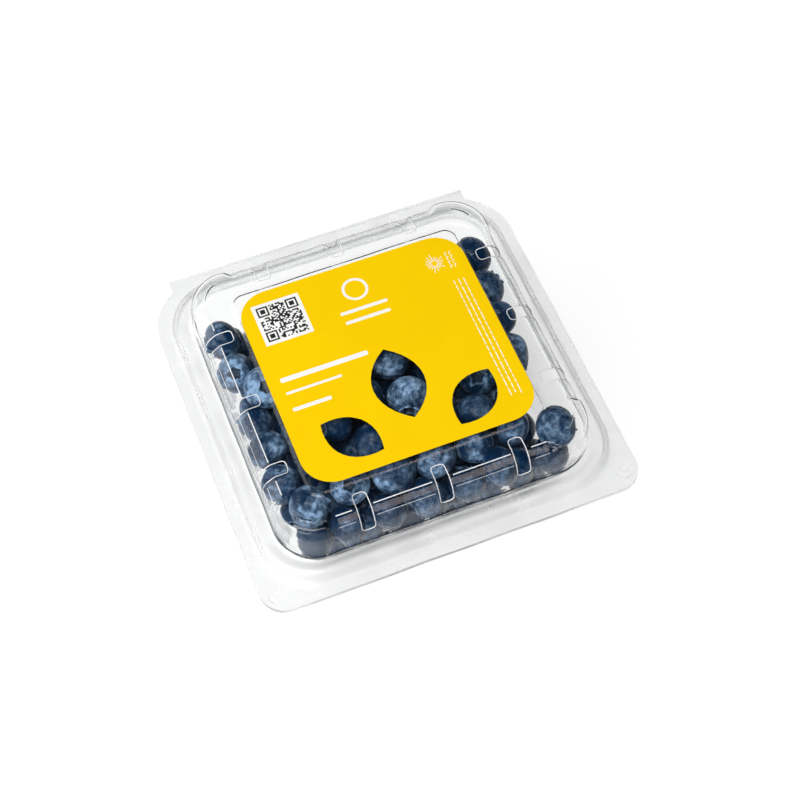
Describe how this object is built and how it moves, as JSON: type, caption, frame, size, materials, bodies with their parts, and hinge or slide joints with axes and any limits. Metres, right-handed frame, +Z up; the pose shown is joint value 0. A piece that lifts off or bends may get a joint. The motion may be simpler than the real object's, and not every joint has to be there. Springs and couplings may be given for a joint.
{
  "type": "punnet of blueberries",
  "caption": "Clear square clamshell punnet holding a heap of blueberries, with a vented hinged lid, snap tabs and a label with leaf-shaped windows.",
  "frame": {"origin": "middle of the tray's flat underside, on the surface that it stands on", "axes": "+Z up, -Y towards the front snap tabs, +Y towards the hinge, +X to the right as the label is seen from the front"},
  "size_m": [0.122, 0.1248, 0.0417],
  "materials": {
    "tray_sheet": "clear thermoformed sheet, glossy",
    "lid_sheet": "clear thermoformed sheet, glossy",
    "crease_sheet": "clear thermoformed sheet, creased",
    "label_print": "yellow printed label, satin",
    "berry_skin": "dark blue skin with pale bloom"
  },
  "bodies": {
    "base": {"tray": "tray_sheet", "hinge_crease": "crease_sheet", "berries": "berry_skin"},
    "cover": {"lid": "lid_sheet", "label": "label_print"}
  },
  "joints": [
    {"name": "lid_hinge", "type": "hinge", "parent": "base", "child": "cover", "pos_m": [0, 0.0629, 0.02337], "axis": [-1, 0, 0], "range_deg": [0, 175]}
  ]
}
